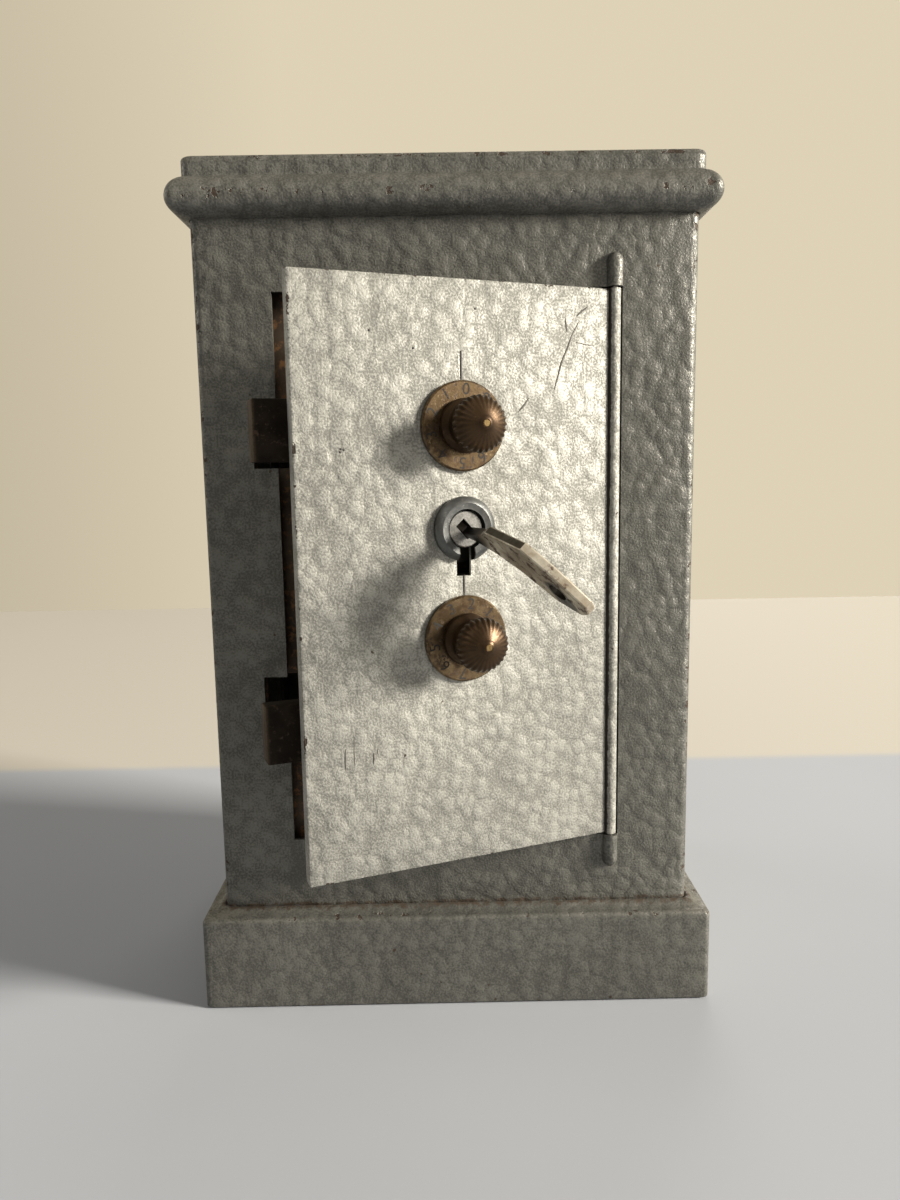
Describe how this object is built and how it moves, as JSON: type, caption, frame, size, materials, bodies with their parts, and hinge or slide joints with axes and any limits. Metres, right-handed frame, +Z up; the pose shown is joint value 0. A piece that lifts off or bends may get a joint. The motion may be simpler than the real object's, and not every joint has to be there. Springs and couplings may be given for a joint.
{
  "type": "toy safe coin bank",
  "caption": "Small sheet metal toy safe coin bank with a hinged door, turning dials with fluted knobs, a key lock that slides the door bolts, and a coin slot in the top.",
  "frame": {"origin": "middle of the underside of the bottom tray, on the floor", "axes": "+Z up, the door faces -Y, +X to the right seen from the front"},
  "size_m": [0.0994, 0.1072, 0.16],
  "materials": {
    "hammered_paint": "grey hammered enamel, worn, rusty at the plinth",
    "door_paint": "silver hammered enamel",
    "dark_steel": "bare steel browned by rust",
    "plain_steel": "plain steel",
    "bronze": "dark bronzed metal",
    "brass": "aged brass",
    "zinc": "zinc plated, dull"
  },
  "bodies": {
    "safe": {"body_shell": "hammered_paint", "back_panel": "hammered_paint", "cornice": "hammered_paint", "plinth": "hammered_paint", "base_tray": "plain_steel", "keeper_strip": "dark_steel", "hinge_pin": "plain_steel"},
    "door": {"door_leaf": "door_paint", "lock_collar": "zinc", "lock_cover": "plain_steel", "cover_pillar_1": "plain_steel", "cover_pillar_2": "plain_steel", "cover_pillar_3": "plain_steel", "cover_pillar_4": "plain_steel", "upper_bolt_guide": "plain_steel", "lower_bolt_guide": "plain_steel"},
    "upper_dial_group": {"upper_dial": "brass", "upper_knob": "bronze", "upper_spindle": "brass", "upper_cam_cup": "brass", "upper_spring_washer": "plain_steel"},
    "lower_dial_group": {"lower_dial": "brass", "lower_knob": "bronze", "lower_spindle": "brass", "lower_cam_cup": "brass", "lower_spring_washer": "plain_steel"},
    "key_group": {"key": "plain_steel", "lock_plug": "plain_steel", "drive_disc": "plain_steel", "drive_pin": "plain_steel"},
    "bolt_work": {"bolt_bar": "dark_steel", "upper_bolt": "dark_steel", "lower_bolt": "dark_steel", "bolt_rivet_1": "plain_steel", "bolt_rivet_2": "plain_steel", "bolt_rivet_3": "plain_steel", "bolt_rivet_4": "plain_steel"}
  },
  "joints": [
    {"name": "door_hinge", "type": "hinge", "parent": "safe", "child": "door", "pos_m": [0.0305, -0.036, 0.085], "axis": [0, 0, 1], "range_deg": [-21.6, 98.4]},
    {"name": "upper_dial_turn", "type": "hinge", "parent": "door", "child": "upper_dial_group", "pos_m": [0.00223, -0.04719, 0.1119], "axis": [0.3681, -0.9298, 0], "continuous": true},
    {"name": "lower_dial_turn", "type": "hinge", "parent": "door", "child": "lower_dial_group", "pos_m": [0.00223, -0.04719, 0.0749], "axis": [0.3681, -0.9298, 0], "continuous": true},
    {"name": "key_turn", "type": "hinge", "parent": "door", "child": "key_group", "pos_m": [0.00223, -0.04719, 0.0943], "axis": [-0.3681, 0.9298, 0], "range_deg": [0, 43]},
    {"name": "bolt_slide", "type": "slide", "parent": "door", "child": "bolt_work", "axis": [-0.9298, -0.3681, 0], "range_m": [0, 0.0035]}
  ],
  "couplings": [
    {"joint": "bolt_slide", "follows": "key_turn", "m_per_rad": 0.0046636}
  ]
}
